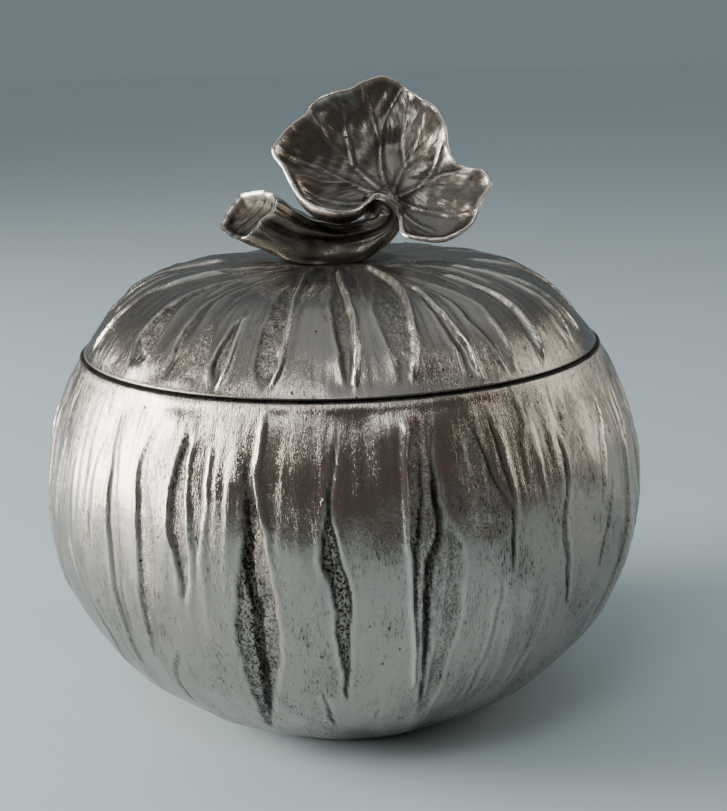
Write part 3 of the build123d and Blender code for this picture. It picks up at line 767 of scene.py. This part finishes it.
# the slanting cut: a dished face with a rolled edge and lines of grain across it
rim = stalk_at(first, turns)[0]
middle = rim.mean(axis=0)
spread = np.linspace(0.03, 1, CUT_RINGS)[:, None]
dish = -1.8 * (1 - spread ** 4) + 0.34 * np.exp(-((spread - 0.90) / 0.07) ** 2) - 0.16 * (spread > 0.99)
across = (rim - middle) @ np.array(CUT_ACROSS)
lines = np.sin(across * spread * 2.3) * 0.035 + np.sin(across * spread * 5.1 + 1) * 0.02
raised = (dish + lines * (spread < 0.85))[..., None] * np.array(CUT_FACING)
cut_face = middle + spread[..., None] * (rim - middle) + raised
stem_spots = np.concatenate([cut_face, stalk])

stem, ring, column = ring_tube("finial_stem_cast", STEM_AROUND, len(stem_spots), "TRIFAN")


def settle(spots, ring, column):
    """The place of each vertex, with the middle of a closed end at the middle of its ring."""
    placed = spots[ring, column]
    for end in (0, len(spots) - 1):
        placed[(column < 0) & (ring == end)] = spots[end].mean(axis=0)
    return placed


place_vertices(stem, settle(stem_spots, ring, column))
bpy.ops.object.mode_set(mode="EDIT")
bpy.ops.mesh.select_all(action="SELECT")
bpy.ops.mesh.flip_normals()
bpy.ops.object.mode_set(mode="OBJECT")
# dirt lies in the dish and between the ribs, and the cut's edge and the ribs are lightened as wear and as
# a painted highlight
in_dish = 0.75 + 0.2 * np.exp(-((spread - 0.74) / 0.08) ** 2) - 0.7 * (spread > 0.9)
stem_patina = np.concatenate([
    in_dish + np.clip(-lines * 4, 0, 0.4),
    np.clip(0.14 - ribs * 3.6 - 0.08 * rough, 0, 0.95) * (1 - 0.2 * share) + 0.35 * under,
])
# painted highlight: the ribs, the top ridge most, and the cut's rolled rim are lightened as wear and to
# stand in for their highlight
stem_wear_and_highlight = np.concatenate([
    0.7 * np.exp(-((spread - 0.93) / 0.06) ** 2) * np.ones_like(turns),
    np.clip(ribs * 8 - 0.3, 0, 0.9) + np.exp(-((along - first) / 0.9) ** 2),
])
round_it = np.stack([GRAIN_OUT * np.sin(turns), -GRAIN_OUT * np.cos(turns)], -1)
stem_grain = np.concatenate([
    (cut_face - middle) @ np.array([CUT_ACROSS, CUT_FACING, CUT_ALONG]).T,
    np.concatenate([np.broadcast_to(round_it, along.shape + (2,)), along[..., None]], -1),
])
leave_marks(stem, settle(stem_grain, ring, column), patina=stem_patina[ring, column],
            worn=stem_wear_and_highlight[ring, column], stipple=np.zeros(len(ring)))
finial_pewter = antiqued_pewter("antiqued_finial_pewter", "#8B857D", "#191613", 0.24, 0.50, 0.35)
stem.data.materials.append(finial_pewter)
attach(stem, "lid")
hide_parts("finial_stem")

# --- Finial leaf ---
# A pumpkin leaf cast with the stalk, which joins it at the notch. It is cupped, with lobed and curling
# edges, wrinkled between its raised veins, and leans back over the lid. Its edges and veins are lightened
# as wear and as a painted highlight.
LEAF_PLACE, LEAF_LEAN = (10.5, -2.0, SEAT_Z + 11.3), radians(30)
LEAF_THICK, LEAF_HEART, CUP_DEPTH = 1.15, (1.0, 6.0), -2.8
RUFFLES = ((6, 0.30), (11, 0.20), (17, 0.12), (29, 0.05))  # how many round the edge, and how high
BLISTERS = ((10, 0.12), (5, 0.035), (2.6, 0.015))  # size and height of those between the veins
VEIN_THIN, VEIN_FLARE = 0.14, 0.26  # half a vein's width at its tip, and what it gains at its root
EDGE_RISE = 0.2755  # an edge is set this much lower for each mm it curls forward
LEAF_GRAIN = 12
# the edge, clockwise from the left tip: across, up, forward, and how far the cup swells past it
LEAF_EDGE = [
    (-22.3, 10.9, 5, 1), (-20.9, 13.8, 4, 0), (-18.6, 16.4, 3, 0), (-16.2, 18.7, 2.5, 0),
    (-14.7, 21.3, 2.2, 0), (-10.1, 23.4, 2.4, 0), (-7.1, 24.0, 1.8, 0), (-4.0, 25.9, 0.8, 0),
    (-0.4, 27.1, 0.2, 0), (3.0, 25.6, -0.3, 0), (6.8, 22.4, 0.2, 0), (9.7, 20.1, 1, 0),
    (11.2, 16.4, 1.2, 0), (11.7, 11.0, 1.2, 0), (13.1, 8.1, 1.5, 0), (16.0, 6.7, 2.0, 0),
    (17.9, 6.0, 2.6, 0), (19.4, 3.4, 3.2, 0.5), (17.2, -0.9, 3.4, 1), (15.4, -5.1, 3.8, 2),
    (12.4, -7.4, 4.2, 2.6), (9.4, -8.2, 4.2, 2.6), (6.5, -8.2, 3.6, 2), (2.5, -7.2, 2.8, 1),
    (1.7, -3.2, 0.6, 0), (1.0, -0.4, -0.6, 0), (-2.6, 1.2, 1.0, 0), (-4.9, -0.3, 3.4, 1.5),
    (-6.9, -2.1, 5.4, 3.4), (-9.8, -2.9, 6.8, 4.4), (-14.1, -1.9, 7.4, 4.6), (-16.6, 0.1, 7, 4),
    (-18.9, 3.7, 6.4, 3), (-20.4, 7.2, 5.8, 2),
]
LEAF_VEINS = [
    [(0, 1), (-1, 6), (-1.3, 14), (-0.8, 17), (3, 24.5)], [(-1.3, 14), (-2.5, 18), (-4, 23)],
    [(0, 1), (3, 8), (6.3, 13), (7.5, 19)], [(3.6, 9), (3.4, 14), (4.4, 19.5)],
    [(1, 1), (6, 4), (12, 6), (16, 4.5)], [(6, 4), (9.5, 8), (11, 12)],
    [(1, 0.5), (6, -1), (11, -3), (15, -3.5)], [(1, 0), (4, -4), (8, -7)],
    [(-1, 3), (-7, 9), (-13, 15), (-15, 19)], [(-7, 9), (-8, 15), (-8.5, 21)],
    [(-1, 2), (-8, 5), (-15, 8), (-20, 9)], [(-2, 1), (-7, 0), (-13, 0.5), (-17, 2)],
    [(-8, 5), (-13, 4.5), (-18, 5)],
]
LEAF_AROUND, FRONT_RINGS, BACK_RINGS = 600, 96, 56

edge = np.array(LEAF_EDGE + LEAF_EDGE[:1], float)
edge[:, 1] -= EDGE_RISE * edge[:, 2]
wrapped = np.concatenate([edge[-4:-1], edge, edge[1:4]])
knots = travel_along(wrapped[:, :2])
spots = np.linspace(knots[3], knots[-4], LEAF_AROUND, endpoint=False)
edge = np.stack([smooth_line(spots, knots, values) for values in wrapped.T], 1)
turns = 2 * pi * np.arange(LEAF_AROUND) / LEAF_AROUND
share = np.linspace(0, 1, FRONT_RINGS)[:, None] * 0.985 + 0.015
out = edge[:, :2] - LEAF_HEART
span = np.hypot(*out.T)
swell = share + 0.75 * edge[:, 3] / span * np.sin(pi * share ** 2.5)
flat_u, flat_v = LEAF_HEART[0] + swell * out[:, 0], LEAF_HEART[1] + swell * out[:, 1]
draw = np.random.default_rng(41)
ruffle = sum(size * np.sin(count * turns + draw.uniform(0, 7)) for count, size in RUFFLES)
forward = CUP_DEPTH + (edge[:, 2] - CUP_DEPTH) * share ** 2.3 + ruffle * share ** 3
forward += 1.6 * np.exp(-((flat_u - 0.5) ** 2 + (flat_v - 1.5) ** 2) / 9)
for size, height in BLISTERS:
    for _ in range(5):
        heading, shift = draw.uniform(0, pi), draw.uniform(0, 7)
        forward += height * step_between(share, 0.15, 0.5) * np.sin(
            2 * pi / size * (flat_u * np.cos(heading) + flat_v * np.sin(heading)) + shift
        )
vein, groove = np.zeros_like(flat_u), np.zeros_like(flat_u)
for rows in LEAF_VEINS:
    rows = np.array(rows, float)
    knots = travel_along(rows)
    run = np.linspace(0, knots[-1], 60)
    course = np.stack([smooth_line(run, knots, values) for values in rows.T], 1)
    gap = np.full_like(flat_u, 99.0)
    size = np.zeros_like(flat_u)
    for place, (u, v) in zip(run / run[-1], course):
        away = np.hypot(flat_u - u, flat_v - v)
        size = np.where(away < gap, 1 - 0.6 * place, size)
        gap = np.minimum(gap, away)
    vein = np.maximum(vein, size * np.exp(-(gap / (VEIN_FLARE * size + VEIN_THIN)) ** 2))
    groove = np.maximum(groove, size * np.exp(-((gap - 0.75) / 0.45) ** 2))


def on_leaf(u, v, w):
    """Turns the leaf's own across, up and forward into the lid's x, y and z."""
    leans, stands = sin(LEAF_LEAN), cos(LEAF_LEAN)
    return np.stack([u, v * leans - w * stands, v * stands + w * leans], -1) + LEAF_PLACE


def facing_of(sheet):
    """The direction that each point of a ringed sheet faces, which is forward on this leaf."""
    inward = np.gradient(sheet, axis=0)
    round_it = np.roll(sheet, -1, axis=1) - np.roll(sheet, 1, axis=1)
    facing = np.cross(inward, round_it)
    facing *= np.sign(np.mean(facing @ np.array((0, -cos(LEAF_LEAN), sin(LEAF_LEAN)))))
    return facing / np.maximum(np.linalg.norm(facing, axis=-1), 1e-9)[..., None]


middle = on_leaf(flat_u, flat_v, forward)
facing = facing_of(middle)
thick = LEAF_THICK * (1 - 0.25 * share ** 6)
fine_work = worked(flat_u.shape, (0.17, 0.13), (1.6, 0.7), 42) * step_between(share, 0.1, 0.4)
front = middle + facing * (thick / 2 + 0.16 * vein - 0.06 * groove + 0.02 * fine_work)[..., None]
back = middle - facing * (thick / 2 + 0.22 * vein)[..., None]
tip = (middle[-1] - middle[-2]) / np.linalg.norm(middle[-1] - middle[-2], axis=1)[:, None]
half = (front[-1] - back[-1]) / 2
rolled = [(front[-1] + back[-1]) / 2 + half * cos(a) + tip * np.linalg.norm(half, axis=1)[:, None] * sin(a)
          for a in (radians(40), radians(90), radians(140))]
back_pick = np.rint(np.linspace(FRONT_RINGS - 1, 0, BACK_RINGS)).astype(int)
leaf_spots = np.concatenate([front, rolled, back[back_pick]])

leaf, ring, column = ring_tube("finial_leaf_cast", LEAF_AROUND, len(leaf_spots), "TRIFAN")
place_vertices(leaf, settle(leaf_spots, ring, column))
rim_rows = np.ones((3, LEAF_AROUND))
# patina lies in the hollows beside the veins, and the cup is darkened towards its heart as painted shade
front_patina_and_shade = np.clip(0.12 + 0.55 * groove - 0.2 * vein + 0.04 * fine_work + 0.15 * (1 - share), 0, 1)
# the back keeps patina, and is darkened more where the lower lobes swell forward, as painted shade on
# their underside
underside_patina_and_shade = (0.45 - 0.35 * vein + 0.10 * np.minimum(edge[:, 3], 4) * share)[back_pick]
leaf_patina_and_shade = np.concatenate([front_patina_and_shade, 0.1 * rim_rows, underside_patina_and_shade])
# the rolled rim, the margin and the veins are lightened as wear and as a painted highlight
edge_wear_and_highlight = step_between(share, 0.95, 1) * rim_rows[:1]
leaf_wear_and_highlight = np.concatenate([0.42 * vein * share + edge_wear_and_highlight, rim_rows, edge_wear_and_highlight[back_pick]])
round_it = np.stack([LEAF_GRAIN * np.sin(turns), -LEAF_GRAIN * np.cos(turns)], -1)
radial = (share * span)[..., None]
front_grain = np.concatenate([np.broadcast_to(round_it, radial.shape[:2] + (2,)), radial], -1)
rim_grain = front_grain[-1:] + np.arange(1, 4)[:, None, None] * 0.25
leaf_grain = np.concatenate([front_grain, rim_grain, front_grain[back_pick] + 40])
leave_marks(leaf, settle(leaf_grain, ring, column), patina=leaf_patina_and_shade[ring, column],
            worn=leaf_wear_and_highlight[ring, column], stipple=np.zeros(len(ring)))
leaf.data.materials.append(finial_pewter)
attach(leaf, "lid")
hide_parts("finial_leaf")

# --- Turned parts ---
# The lid's locating ring and the base disc are turned pewter, soldered in. The screw and washer that
# hold the finial are brass. Their solids are right as they are and only take their finish.
dull_brass = turned("turned_brass", "#B58F4E", "#6B5230", 0.38, 0.3)
for name, finish in (("lid_ring", satin_pewter), ("base_disc", satin_pewter), ("finial_screw", dull_brass),
                     ("finial_washer", dull_brass)):
    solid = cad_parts[name].data
    for place in range(len(solid.materials)):
        solid.materials[place] = finish
